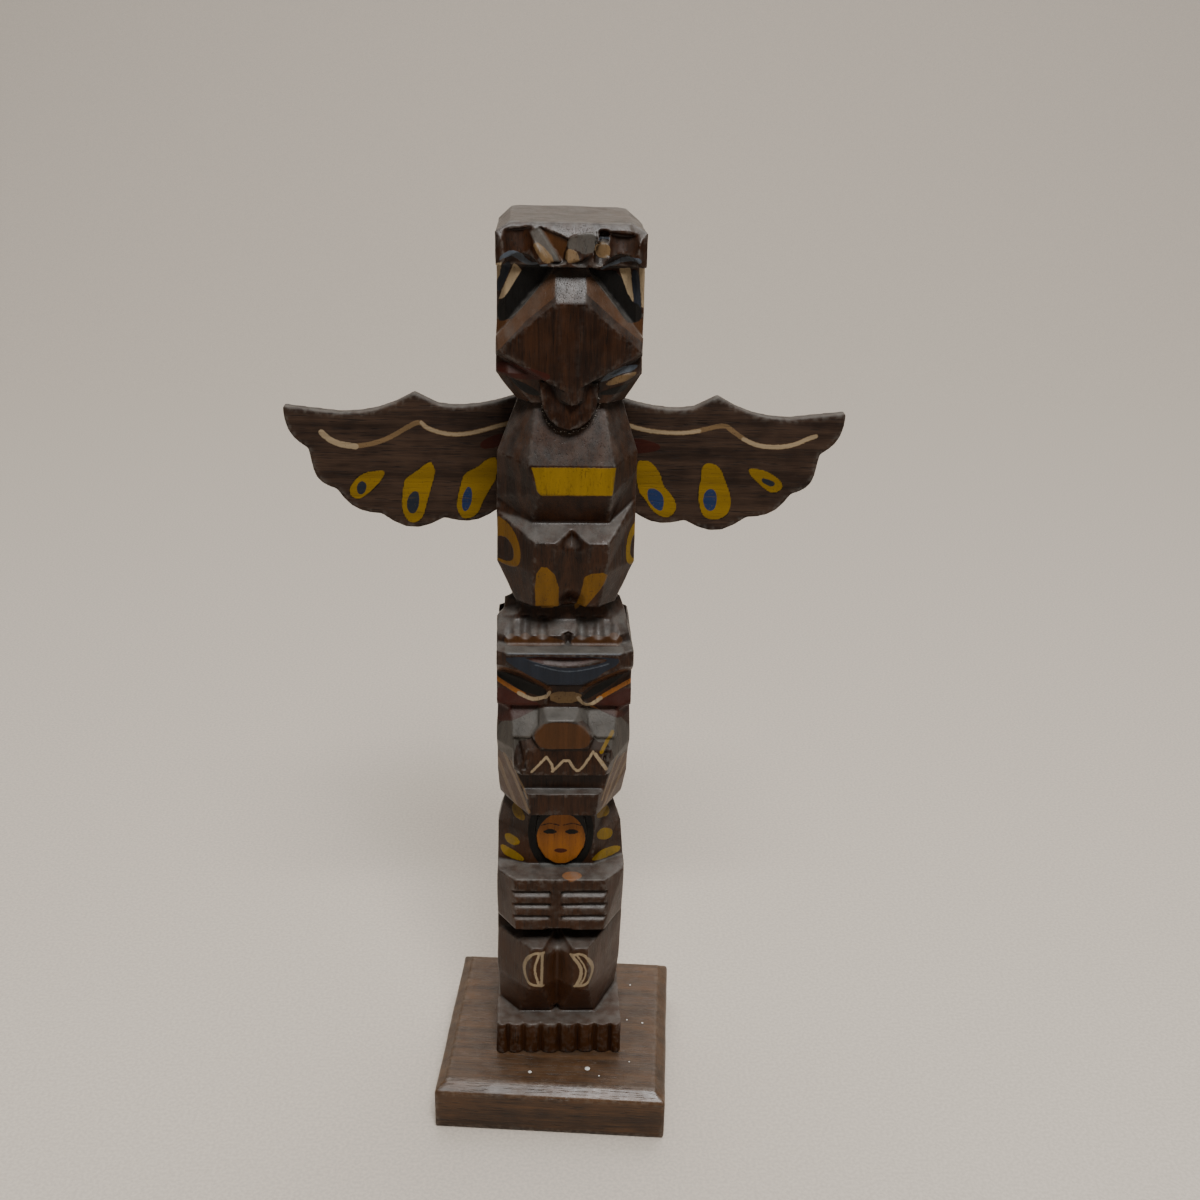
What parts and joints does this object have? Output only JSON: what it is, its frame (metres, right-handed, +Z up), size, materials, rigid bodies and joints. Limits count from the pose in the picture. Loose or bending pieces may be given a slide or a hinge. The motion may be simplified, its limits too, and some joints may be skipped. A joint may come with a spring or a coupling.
{
  "type": "souvenir totem pole",
  "caption": "Small carved wooden totem pole with a winged, hook-beaked bird above a bear and a seated figure, stained dark with painted details, on a bevelled square block.",
  "frame": {"origin": "middle of the base block's underside", "axes": "+Z up, the carved front faces -Y"},
  "size_m": [0.0922, 0.0432, 0.1539],
  "materials": {
    "pole_wood": "dark walnut stain under a thin gloss varnish, with painted details",
    "wing_wood": "dark walnut stain, satin, with painted feathers",
    "base_wood": "dark walnut stain under a thin gloss varnish"
  },
  "bodies": {
    "root": {"base": "base_wood", "pole": "pole_wood", "wings": "wing_wood"}
  },
  "joints": []
}
